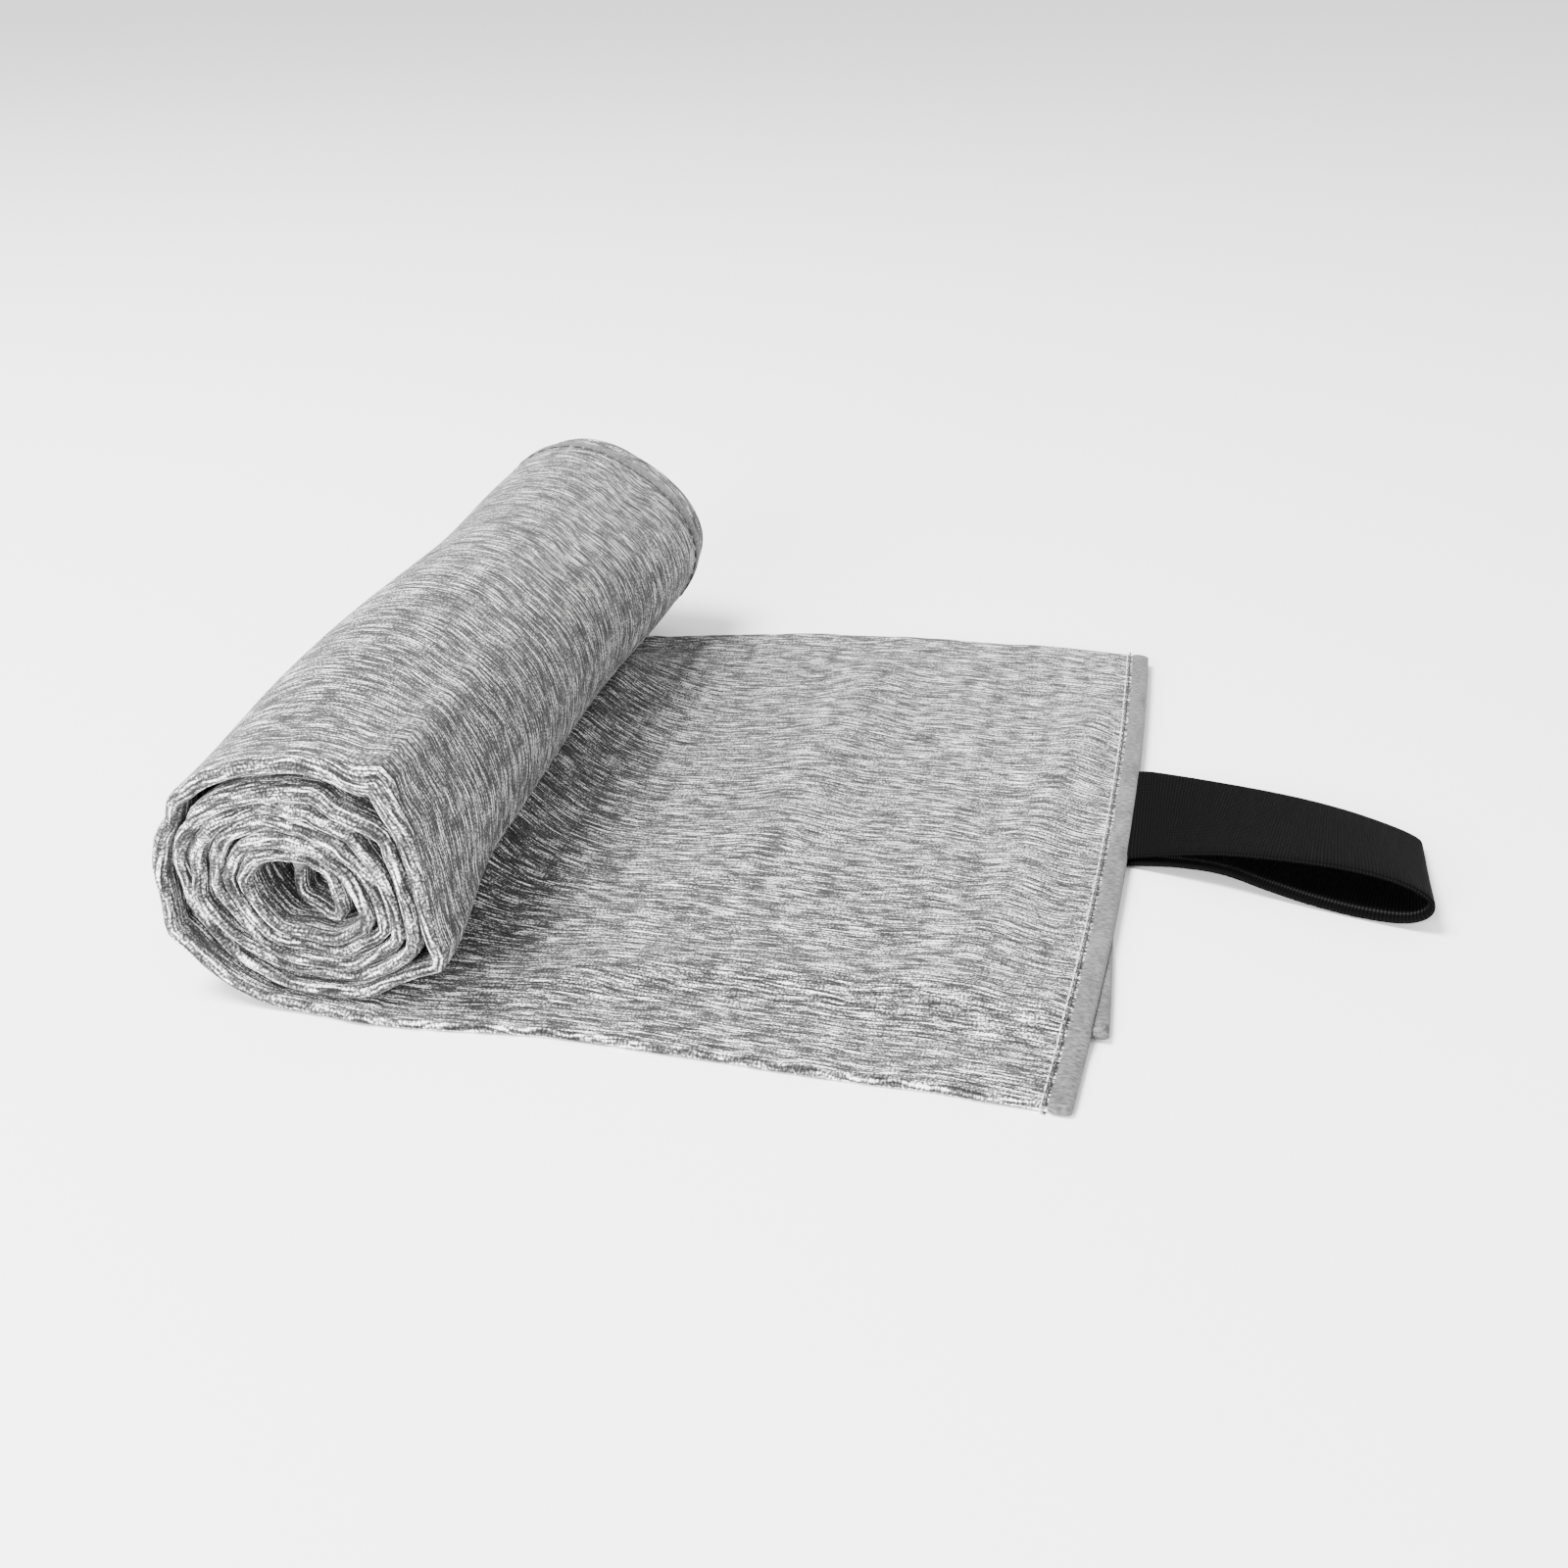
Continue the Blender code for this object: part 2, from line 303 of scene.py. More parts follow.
def roll_line(reach_after):
    """Points (x, z) from the axis, kept clear of the wrap outside them and of the flat stack."""
    reaches = []
    for degrees in range(STEP, LAST_DEGREES + STEP, STEP):
        turns = degrees / FULL_TURN
        reach = reach_after(turns)
        if turns > 1:
            reach = min(reach, reaches[-FULL_TURN // STEP] - CLOSEST)
        elif turns > 0.75:
            reach = min(reach, (roll_radius - CLOSEST) / math.cos(2 * math.pi * turns))
        reaches.append(reach)
    points = [(LEAD_IN, -roll_radius), (LEAD_IN / 2, -roll_radius), (0.0, -roll_radius)]
    for k, reach in enumerate(reaches):
        angle = math.radians((k + 1) * STEP)
        points.append((-reach * math.sin(angle), -reach * math.cos(angle)))
    return cut_corners(points + list(CORE_END), 3)


uneven_line = roll_line(uneven_reach)
even_line = roll_line(even_reach)
mean_line = (uneven_line + even_line) / 2
line_turn = np.unwrap(np.arctan2(-even_line[:, 0], -even_line[:, 1]))
line_s = np.concatenate([[0], np.cumsum(np.hypot(*np.diff(mean_line, axis=0).T))])
mean_axis_x = (axis_near_x + axis_far_x) / 2
flat_length = end_x - mean_axis_x - LEAD_IN
towel_length = flat_length + line_s[-1]
print("flat stretch", round(flat_length), "mm, whole towel", round(towel_length), "mm long")

# %% [markdown]
# ## The folded cloth
#
# Now every point of the towel gets a place. We name it by two distances on the cloth, as if it lay
# flat: s from the flat end, along the length, and t across the width, starting at the free edge of
# the bottom panel. Going along t, the cloth comes forward underneath, turns round the near fold,
# goes back over the top, turns round the far fold, and ends as the panel tucked in between.
#
# A cloth simulation could roll a flat sheet up, but seventeen tight layers would fight each other
# for hours. Placing the folds by rule keeps the layers apart, and gives the same towel each run.

# %% Where the folds are
near_fold = 3.0
far_fold = 1.6
bottom_panel = bottom_edge_y - near_y
tucked_panel = far_y - tucked_edge_y
T_NEAR = bottom_panel
T_TOP = T_NEAR + near_fold
T_FAR = T_TOP + fold_width
T_TUCKED = T_FAR + far_fold
towel_width = T_TUCKED + tucked_panel
print("whole towel", round(towel_width), "mm wide")


def across(t):
    """For a distance t: the resting y, and how far round the near and the far fold it is."""
    t = np.asarray(t, float)
    y = np.where(t < T_TOP, np.maximum(bottom_edge_y - t, near_y), near_y + (t - T_TOP))
    y = np.where(t > T_FAR, np.minimum(far_y, far_y - (t - T_TUCKED)), y)
    near_turn = np.pi * np.clip((t - T_NEAR) / near_fold, 0, 1)
    far_turn = np.pi * np.clip((t - T_FAR) / far_fold, 0, 1)
    return y, near_turn, far_turn


# %% Where the flat part waves and lifts
def flap_edge(x):
    """The tucked panel's free edge, which runs aslant towards the roll."""
    return tucked_edge_y - 10 * (1 - glide(x, bend_x, bend_x + 40))


def lift(x, y):
    """Cloth that has been rolled springs up a little before it reaches the roll."""
    foot = bend_x - 17
    rise = glide(x, foot - 8, foot) * np.clip((foot + 26 - x) / 26, 0, 1) ** 2
    return 4.5 * rise * glide(y, near_y + 12, near_y + 55) * (1 - glide(y, far_y - 34, far_y - 8))


# Soft ridges of the top layer: distance from the flat end, slant, from y, to y, width, height
RIDGES = (
    (65, 0.05, -20, 60, 9, 2.0),
    (16, 0.10, -45, 45, 6, 1.8),
    (36, -0.12, -70, 0, 8, 0.6),
)


def waves(x, y):
    """The low waves of the top layer, with a swelling where the tucked panel ends below it."""
    rise = 1.3 * np.exp(-((y - flap_edge(x) - 4) / 6) ** 2)
    for from_end, slant, low, high, width, height in RIDGES:
        away = (x - (end_x - from_end) - slant * y) / width
        stretch = glide(y, low - 20, low) * (1 - glide(y, high, high + 20))
        rise = rise + height * np.exp(-away * away) * stretch
    rise = rise + 0.45 * (1 + bumps(x / 17, y / 30, 1)) + 0.12 * bumps(x / 5, y / 9, 2)
    return rise * glide(x, bend_x, bend_x + 25) * (1 - glide(x, end_x - 9, end_x))


print("height of the top layer's waves half-way:", np.round(waves(end_x - 65, np.array([-60, 0, 60])), 2))


# %% How the roll swells
def facing(turn, degrees):
    """1 where the roll's surface looks in that direction, falling to 0 a quarter turn away."""
    return np.clip(np.cos(turn - math.radians(degrees)), 0, 1)


def swelling(along, turn, y):
    """How much further out than its line the roll stands, as a share of its reach."""
    slow = 0.016 * bumps(along / 38, y / 42, 3) * glide(along, 10, 40)
    # Small kinks where the wraps lie open at the near end, hardly any on the outer wrap's top
    dent = bumps(4.6 * np.sin(turn), 4.6 * np.cos(turn) + 0.05 * turn, 6)
    kinks = 1 - glide(y, near_y + 5, near_y + 30)
    kinks = kinks * (1 - 0.8 * facing(turn, 190) * (turn < 2 * math.pi)) * glide(along, 25, 60)
    # The wraps are looser on the upper left, both near the front and at the far end
    far_part = glide(y, near_y + 105, near_y + 160)
    loose = 0.08 * np.exp(-((y - near_y - 50) / 38) ** 2) + 0.085 * far_part
    # The far end leans to the right: fuller there, flatter on its upper right
    lean = far_part * (0.17 * facing(turn, 285) ** 2 - 0.14 * facing(turn, 212) ** 2)
    swell = slow + 0.045 * dent * kinks + loose * facing(turn, 140) ** 1.5 + lean
    return swell * (1 - facing(turn, 0))


def spine(s, y):
    """The middle of the stack of layers, as x and z, for a slice at y."""
    share = (y - near_y) / fold_width
    axis_x = axis_near_x + (axis_far_x - axis_near_x) * share
    bowed_end = end_x + 1.0 - 2.6 * ((y + 5) / 95) ** 2
    flat_x = bowed_end - s * (bowed_end - axis_x - LEAD_IN) / flat_length
    along = np.clip(s - flat_length, 0, line_s[-1])
    evenness = 0.72 * glide(y, near_y + 2, near_y + 40) + 0.24 * glide(y, near_y + 30, near_y + 105)
    x, z = [
        np.interp(along, line_s, uneven_line[:, k]) * (1 - evenness)
        + np.interp(along, line_s, even_line[:, k]) * evenness
        for k in (0, 1)
    ]
    swell = 1 + swelling(along, np.interp(along, line_s, line_turn), y)
    on_flat = s < flat_length
    x = np.where(on_flat, flat_x, axis_x + x * swell)
    z = np.where(on_flat, spine_z, axis_z + z * swell)
    return x, z + np.where(along < LEAD_IN, lift(x, y), 0)


print("spine at the flat end and in the roll:", np.round([spine(0.0, 0.0), spine(300.0, 0.0)], 1).tolist())

# %% How far apart the panels lie
EAR_TURN = math.radians(219)
PINCHED = 0.42  # share of the full stack where only two panels lie on each other


def half_stack(x, y, turn, on_flat):
    """Half the distance between the bottom and the top panel's middles."""
    step = np.where(on_flat, flap_edge(x), tucked_edge_y)
    thin = np.where(on_flat, PINCHED, 0.88 - 0.24 * np.cos(turn))
    half = layer * (thin + (1 - thin) * glide(y, step - 7, step + 2))
    # At the near end the fold gapes: most at the ear, and a little on the second wrap
    gape = 1 - glide(y, near_y + 3, near_y + 17)
    half = half + 1.7 * gape * np.exp(-((turn - EAR_TURN) / 0.26) ** 2)
    return half + 0.55 * gape * np.exp(-((turn - EAR_TURN - 5.2) / 0.7) ** 2)


def slide(s, x, y, on_flat):
    """How far the cloth has slid along y, because no fold lies exactly over the last one."""
    into_roll = np.clip(s - flat_length, 0, None)
    pull = 14.7 * np.clip((end_x - 14 - x) / 103, 0, 1) ** 2.7
    far_shift = -np.where(on_flat, pull, 12.0) * (1 - glide(into_roll, 10, 60))
    under_roll = 1 - glide(x, axis_near_x + 14, axis_near_x + 46)
    near_shift = -3.2 * under_roll * (1 - glide(into_roll, 20, 60))
    near_shift = near_shift + 0.9 * bumps(s / 13, 0.5, 4) * glide(into_roll, 0, 20)
    near_shift = near_shift - 0.7 * glide(x, end_x - 14, end_x) * on_flat + 0.35 * bumps(s / 9, 0.2, 5)
    near_shift = near_shift + 6 * glide(s, towel_length - 22, towel_length - 4)
    # In the middle the streaks curve towards the far end before they run into the roll
    drift = 16 * np.clip((bend_x + 13 - x) / 32, 0, 1) ** 2
    drift = np.where(on_flat, drift, 14.0) * (1 - glide(into_roll, 0, 60))
    drift = drift * glide(y, near_y + 12, near_y + 62) * (1 - glide(y, far_y - 52, far_y - 8))
    side = (y - near_y) / fold_width
    return near_shift * (1 - side) + far_shift * side + drift


# %% The place of every point
def place(s, t):
    """The middle of the cloth at distances s and t, as an array of points."""
    s, t = np.broadcast_arrays(np.asarray(s, float), np.asarray(t, float))
    y, near_turn, far_turn = across(t)
    x, z = spine(s, y)
    ahead = spine(s + 0.2, y)
    behind = spine(s - 0.2, y)
    dx, dz = ahead[0] - behind[0], ahead[1] - behind[1]
    size = np.hypot(dx, dz)
    nx, nz = dz / size, -dx / size

    on_flat = s < flat_length
    turn = np.interp(s - flat_length, line_s, line_turn)
    half = half_stack(x, y, turn, on_flat)
    top = 2 * half - layer
    height = -layer + half * (1 - np.cos(near_turn))
    height = np.where(t > T_FAR, top * (1 + np.cos(far_turn)) / 2, height)
    above = np.clip((height + layer) / (2 * layer), 0, 1)

    y = y + slide(s, x, y, on_flat)
    y = y - np.minimum(half, 1.3 * layer) * np.sin(near_turn) + np.abs(top) / 2 * np.sin(far_turn)
    flap = (t > T_TUCKED) & on_flat
    x = x + np.where(flap, 2.9 * np.clip((tucked_edge_y + 32 - y) / 32, 0, 1), 0) * glide(-s, -30, 0)
    x = x + nx * height
    z = z + nz * height + np.where(on_flat, waves(x, y) * above ** 2, 0)
    return np.stack([x, y, np.maximum(z, cloth_thick / 2)], -1)


def frame_at(s, t):
    """Place, direction along s, direction along t, and the cloth's normal (down on the top panel)."""
    along = place(s + 0.3, t) - place(s - 0.3, t)
    sideways = place(s, t + 0.3) - place(s, t - 0.3)
    unit = lambda v: v / np.linalg.norm(v, axis=-1, keepdims=True)
    return place(s, t), unit(along), unit(sideways), unit(np.cross(along, sideways))


print("a point on the near fold:", np.round(place(60.0, T_NEAR + near_fold / 2), 2))

# %% [markdown]
# ## Making meshes
#
# Blender keeps a mesh as points and faces. We could shape the pieces with modifiers, but for cloth
# we only need grids: rows of points joined into squares, which are quick to place by rule. One
# helper turns them into objects and stores maps with them: "cloth" holds real distances on the
# fabric, which the pattern of the knit follows, and "OFBake" is a tidy layout for anyone who wants
# to paint the piece.


# %% A helper that makes an object
def make_piece(name, points, faces, maps, material):
    """points in mm; each map has one entry for each corner of each face."""
    mesh = bpy.data.meshes.new(name)
    mesh.from_pydata((np.asarray(points) * MM).tolist(), [], faces)
    for map_name, values in maps.items():
        uv = mesh.uv_layers.new(name=map_name)
        uv.data.foreach_set("uv", np.asarray(values, np.float32).ravel())
    mesh.uv_layers.active_index = 0
    mesh.materials.append(material)
    mesh.shade_smooth()
    mesh.validate()
    piece = bpy.data.objects.new(name, mesh)
    bpy.context.scene.collection.objects.link(piece)
    print(name, len(mesh.vertices), "points", len(mesh.polygons), "faces")
    return piece


def grid_faces(rows, columns, offset=0):
    """Squares between neighbouring points of a grid."""
    i, j = np.meshgrid(np.arange(rows - 1), np.arange(columns - 1), indexing="ij")
    a = offset + i * columns + j
    return np.stack([a, a + 1, a + columns + 1, a + columns], -1).reshape(-1, 4)


# %% [markdown]
# ## The colours of the knit
#
# The yarn is heather: white and dark-grey fibres spun together, so the cloth shows thin broken
# streaks, a few millimetres to two centimetres long and half a millimetre wide. They all run along
# the towel's length. A picture of cloth would repeat itself and blur from close by, so we make the
# streaks from noise: smooth noise stretched along that direction, in several sizes, whose sum
# chooses between dark, middle and light greys. The same streaks lift the surface a little, because
# thick yarns stand proud, and a fine haze of fibres gives the soft sheen of microfibre.


# %% Node helpers
def new_material(name, roughness, sheen, sheen_roughness):
    material = bpy.data.materials.new(name)
    material.use_nodes = True
    shader = material.node_tree.nodes["Principled BSDF"]
    shader.inputs["Roughness"].default_value = roughness
    shader.inputs["Sheen Weight"].default_value = sheen
    shader.inputs["Sheen Roughness"].default_value = sheen_roughness
    shader.inputs["Specular IOR Level"].default_value = 0.25
    return material, material.node_tree, shader


def cloth_map(tree):
    """The place on the fabric, in metres."""
    uv = tree.nodes.new("ShaderNodeUVMap")
    uv.uv_map = "cloth"
    return uv.outputs["UV"]


def cloth_distance(tree, along, sideways, shift=0.0, start=None):
    """The place on the fabric, divided by a length and a width in mm."""
    scale = tree.nodes.new("ShaderNodeMapping")
    scale.inputs["Scale"].default_value = (1 / (along * MM), 1 / (sideways * MM), 1)
    scale.inputs["Location"].default_value = (shift, shift * 0.7, shift)
    tree.links.new(start or cloth_map(tree), scale.inputs["Vector"])
    return scale.outputs["Vector"]


def noise(tree, vector, detail=2.0, rough=0.5, warp=0.0):
    node = tree.nodes.new("ShaderNodeTexNoise")
    node.noise_dimensions = "2D"
    node.inputs["Scale"].default_value = 1.0
    node.inputs["Detail"].default_value = detail
    node.inputs["Roughness"].default_value = rough
    node.inputs["Distortion"].default_value = warp
    tree.links.new(vector, node.inputs["Vector"])
    return node.outputs["Fac"]


def maths(tree, kind, a, b):
    """One maths node; a and b are sockets or plain numbers."""
    node = tree.nodes.new("ShaderNodeMath")
    node.operation = kind
    for socket, value in zip(node.inputs, (a, b)):
        if isinstance(value, (int, float)):
            socket.default_value = value
        else:
            tree.links.new(value, socket)
    return node.outputs[0]


def spread(tree, value, low, high, size):
    """Stretches the part of a value between low and high to 0..size."""
    node = tree.nodes.new("ShaderNodeMapRange")
    node.inputs["From Min"].default_value = low
    node.inputs["From Max"].default_value = high
    node.inputs["To Max"].default_value = size
    tree.links.new(value, node.inputs["Value"])
    return node.outputs["Result"]


# %% More node helpers
def wavering(tree, amount):
    """The place on the fabric, pushed sideways a little, so that the streaks aren't ruler-straight."""
    slow = noise(tree, cloth_distance(tree, 13.0, 17.0, 6.1), 1.0, 0.5)
    push = tree.nodes.new("ShaderNodeCombineXYZ")
    sideways = maths(tree, "MULTIPLY", maths(tree, "SUBTRACT", slow, 0.5), amount * MM)
    tree.links.new(sideways, push.inputs["Y"])
    add = tree.nodes.new("ShaderNodeVectorMath")
    tree.links.new(cloth_map(tree), add.inputs[0])
    tree.links.new(push.outputs["Vector"], add.inputs[1])
    return add.outputs["Vector"]


def along_and_sideways(tree):
    """The two distances on the fabric, in metres, as separate values."""
    parts = tree.nodes.new("ShaderNodeSeparateXYZ")
    tree.links.new(cloth_map(tree), parts.inputs["Vector"])
    return parts.outputs["X"], parts.outputs["Y"]


def grey_ramp(tree, value, stops):
    """Greys between the given places: stops are (place, grey)."""
    ramp = tree.nodes.new("ShaderNodeValToRGB")
    points = ramp.color_ramp.elements
    points[0].position, points[-1].position = stops[0][0], stops[-1][0]
    for position, _ in stops[1:-1]:
        points.new(position)
    for point, (_, grey) in zip(points, stops):
        point.color = (grey, grey, grey, 1)
    tree.links.new(value, ramp.inputs["Fac"])
    return ramp.outputs["Color"]


def add_bump(tree, shader, height, depth, strength):
    bump = tree.nodes.new("ShaderNodeBump")
    bump.inputs["Distance"].default_value = depth * MM
    bump.inputs["Strength"].default_value = strength
    tree.links.new(height, bump.inputs["Height"])
    tree.links.new(bump.outputs["Normal"], shader.inputs["Normal"])


# %% The heather knit's streaks
knit, tree, shader = new_material("heather_knit", roughness=0.92, sheen=0.07, sheen_roughness=0.5)
wavy = wavering(tree, 1.5)


def streaks(length, width, shift, detail, rough):
    return noise(tree, cloth_distance(tree, length, width, shift, wavy), detail, rough, 0.1)


long_streaks = spread(tree, streaks(7.0, 0.38, 0.0, 1.0, 0.5), 0.38, 0.62, 0.28)
short_streaks = spread(tree, streaks(2.6, 0.34, 5.3, 1.0, 0.6), 0.36, 0.64, 0.24)
light_dashes = spread(tree, streaks(6.5, 0.36, 3.9, 0.0, 0.5), 0.56, 0.66, 0.26)
dark_dashes = spread(tree, streaks(5.5, 0.34, 8.6, 0.0, 0.5), 0.57, 0.68, 0.22)
patches = spread(tree, noise(tree, cloth_distance(tree, 11.0, 1.3, 9.1, wavy), 1.0, 0.5), 0.36, 0.64, 0.11)
grain = spread(tree, noise(tree, cloth_distance(tree, 0.38, 0.32, 2.7), 0.0, 0.6), 0.34, 0.66, 0.32)

yarn = maths(tree, "ADD", long_streaks, short_streaks)
yarn = maths(tree, "ADD", yarn, light_dashes)
yarn = maths(tree, "SUBTRACT", yarn, dark_dashes)
yarn = maths(tree, "ADD", yarn, patches)
yarn = maths(tree, "ADD", yarn, grain)

# %% Painted light on the knit, and the knit's greys
from_end, from_side = along_and_sideways(tree)
# Painted light: the knit turns paler over the 90 mm nearest the flat end, standing in for the brighter light
# that falls on that part.
painted_light_near_end = spread(tree, from_end, 0.09, 0.0, 0.06)
# Painted highlight: the knit is made lighter within about 3 mm of the near fold's crest, where the fold
# catches the light.
from_fold = maths(tree, "SUBTRACT", from_side, (T_NEAR + near_fold / 2) * MM)
from_fold = maths(tree, "MULTIPLY", from_fold, from_fold)
painted_fold_highlight = spread(tree, from_fold, (3.0 * MM) ** 2, 0.0, 0.06)
yarn = maths(tree, "ADD", maths(tree, "ADD", yarn, painted_light_near_end), painted_fold_highlight)
KNIT_GREYS = ((0.10, 0.006), (0.30, 0.017), (0.47, 0.042), (0.60, 0.09), (0.75, 0.28), (0.94, 0.95))
tree.links.new(grey_ramp(tree, yarn, KNIT_GREYS), shader.inputs["Base Color"])
add_bump(tree, shader, yarn, 0.4, 0.5)
print("knit nodes:", len(tree.nodes))

# %% [markdown]
# ## The colours of the edges and the elastic
#
# The edges are overlocked: a plain grey thread is wrapped round and round the raw edge, so the band
# looks smooth, with fine ribs across it. Dark sewing thread runs along its inner side, and a light
# one beside it. The elastic is a dense black weave whose edges have rubbed a little grey. Modelling
# each of those hundreds of threads would be slow, so fine noise and bands of waves stand for them.

# %% Hem and threads
hem_finish, tree, shader = new_material("overlock_hem", roughness=0.8, sheen=0.1, sheen_roughness=0.4)
ribs = noise(tree, cloth_distance(tree, 0.42, 1.3), 1.5, 0.7, 0.1)
mottle = noise(tree, cloth_distance(tree, 9.0, 4.0, 4.0), 1.0, 0.5)
mix = maths(tree, "ADD", maths(tree, "MULTIPLY", ribs, 0.75), maths(tree, "MULTIPLY", mottle, 0.25))
HEM_GREYS = ((0.34, 0.045), (0.5, 0.085), (0.66, 0.135))
tree.links.new(grey_ramp(tree, mix, HEM_GREYS), shader.inputs["Base Color"])
add_bump(tree, shader, ribs, 0.25, 0.6)


def thread_material(name, dark, light):
    material, tree, shader = new_material(name, roughness=0.7, sheen=0.0, sheen_roughness=0.5)
    twist = noise(tree, cloth_distance(tree, 0.5, 0.3), 1.0, 0.5)
    tree.links.new(grey_ramp(tree, twist, ((0.3, dark), (0.7, light))), shader.inputs["Base Color"])
    return material


dark_thread = thread_material("seam_thread", 0.02, 0.06)
light_thread = thread_material("light_thread", 0.30, 0.60)

# %% Elastic
elastic_finish, tree, shader = new_material("black_elastic", roughness=0.8, sheen=0.0, sheen_roughness=0.4)
shader.inputs["Specular IOR Level"].default_value = 0.02


def weave_bands(direction, spacing, distortion):
    """Soft bands across the elastic (X) or along it (Y)."""
    node = tree.nodes.new("ShaderNodeTexWave")
    node.wave_type = "BANDS"
    node.bands_direction = direction
    node.inputs["Scale"].default_value = 0.5
    node.inputs["Distortion"].default_value = distortion
    tree.links.new(cloth_distance(tree, spacing, spacing), node.inputs["Vector"])
    return node.outputs["Fac"]


weave = maths(tree, "MULTIPLY", weave_bands("X", 0.9, 0.4), weave_bands("Y", 1.1, 0.3))
half_round = (elastic_width + elastic_thick) * MM
_, round_band = along_and_sideways(tree)
from_edge = maths(tree, "ABSOLUTE", maths(tree, "SUBTRACT", round_band, half_round), 0.0)
near_edge = spread(tree, from_edge, 1.0 * MM, 0.2 * MM, 0.55)
far_edge = spread(tree, from_edge, half_round - 1.0 * MM, half_round - 0.2 * MM, 0.55)
worn = maths(tree, "ADD", near_edge, far_edge)
shade = maths(tree, "ADD", maths(tree, "MULTIPLY", weave, 0.6), worn)
ELASTIC_GREYS = ((0.0, 0.001), (0.4, 0.003), (0.6, 0.008), (1.0, 0.05))
tree.links.new(grey_ramp(tree, shade, ELASTIC_GREYS), shader.inputs["Base Color"])
add_bump(tree, shader, weave, 0.25, 0.7)
print("materials:", [m.name for m in bpy.data.materials])

# %% [markdown]
# ## The towel's cloth
#
# The towel is one thin sheet with two faces. We could thicken a single surface with a modifier, but
# then the tight folds would cut into each other, so we place both faces ourselves. Rows follow s
# and columns follow t. The columns stand closer together at the folds, where the cloth turns. Each
# point of the middle surface is moved half the cloth's thickness to either side, and a narrow strip
# round the edge closes the two faces.

# %% Rows and columns
def columns_between(start, end, step):
    return np.linspace(start, end, max(2, round((end - start) / step) + 1))


TUCK_IN = 1.2  # how far the cloth reaches into its hems
FINE = 24  # mm beside the near fold with close columns
first_edge = hem_width - TUCK_IN
row_s = columns_between(first_edge, towel_length - first_edge, 1.6)
column_t = np.unique(np.round(np.concatenate([
    columns_between(first_edge, T_NEAR - FINE, 3.0),
    columns_between(T_NEAR - FINE, T_NEAR, 1.6),
    columns_between(T_NEAR, T_TOP, near_fold / 8),
    columns_between(T_TOP, T_TOP + FINE, 1.6),
    columns_between(T_TOP + FINE, T_FAR, 3.0),
    columns_between(T_FAR, T_TUCKED, far_fold / 5),
    columns_between(T_TUCKED, towel_width - first_edge, 3.2),
]), 4))
print(len(row_s), "rows and", len(column_t), "columns")

# %% Both faces and the closing strip
S, T = np.meshgrid(row_s, column_t, indexing="ij")
rows, columns = S.shape
count = rows * columns
middle = place(S, T)
out = np.cross(np.gradient(middle, axis=0), np.gradient(middle, axis=1))
out /= np.linalg.norm(out, axis=-1, keepdims=True)
points = np.concatenate([(middle + side * out * cloth_thick / 2).reshape(-1, 3) for side in (1, -1)])
front = grid_faces(rows, columns)[:, ::-1]
behind = grid_faces(rows, columns, count)

index = np.arange(count).reshape(rows, columns)
edge = np.concatenate([index[:-1, 0], index[-1, :-1], index[:0:-1, -1], index[0, :0:-1]])
after = np.roll(edge, -1)
rim = np.stack([edge, edge + count, after + count, after], -1)
faces = np.concatenate([front, behind, rim])
print("closing strip:", len(edge), "faces")

# %% The cloth's two maps
# A fold that gapes is longer than its share of t: the pattern is kept from stretching there.
in_fold = (column_t >= T_NEAR) & (column_t <= T_TOP)
round_fold = np.linalg.norm(np.diff(middle[:, in_fold], axis=1), axis=-1).sum(1, keepdims=True)
slack = (round_fold / near_fold - 1) * np.clip(T_TOP - T, 0, near_fold)
woven = np.stack([S.ravel(), (T - slack).ravel()], -1) * MM
cloth_uv = np.concatenate([woven, woven])[faces]

# The layout: one face below, the other above, and the closing strip in a thin row at the top
MARGIN = 0.004
STRIP_ROW = 0.985
STRIP_LENGTH = 0.98
size = 1.06 * max(2 * (T.max() - T.min()), S.max() - S.min()) * MM
flat = np.stack([S.ravel(), T.ravel()], -1) * MM
lay = (flat - flat.min(0)) / size
bake_uv = (np.concatenate([lay, lay + [0, 0.5]]) + MARGIN)[faces]
start = np.arange(len(edge)) / len(edge) * STRIP_LENGTH + MARGIN
end = start + 0.9 * STRIP_LENGTH / len(edge)
thin = cloth_thick * MM / size
strip = slice(len(front) + len(behind), None)
bake_uv[strip, :, 0] = np.stack([start, start, end, end], -1)
bake_uv[strip, :, 1] = STRIP_ROW + np.array([0, thin, thin, 0])
maps = {"OFBake": bake_uv, "cloth": cloth_uv}
towel = make_piece("towel_cloth", points, faces.tolist(), maps, knit)

# %% [markdown]
# ## The overlocked edges
#
# Each hem is a flat, rounded band that wraps the raw edge and keeps the knit from fraying. It could
# be made thread by thread, but from half a metre away it reads as one smooth band. So we sweep one
# cross-section, an oval flattened on top and below, along the edge of the cloth.


# %% A helper that sweeps a band along the cloth
def oval(width, thick, round_to, count):
    """Points round a flat oval; the higher round_to, the squarer it is."""
    angle = np.linspace(0, 2 * np.pi, count, endpoint=False)
    soft = lambda v: np.sign(v) * np.abs(v) ** (2 / round_to)
    return width / 2 * soft(np.cos(angle)), thick / 2 * soft(np.sin(angle))


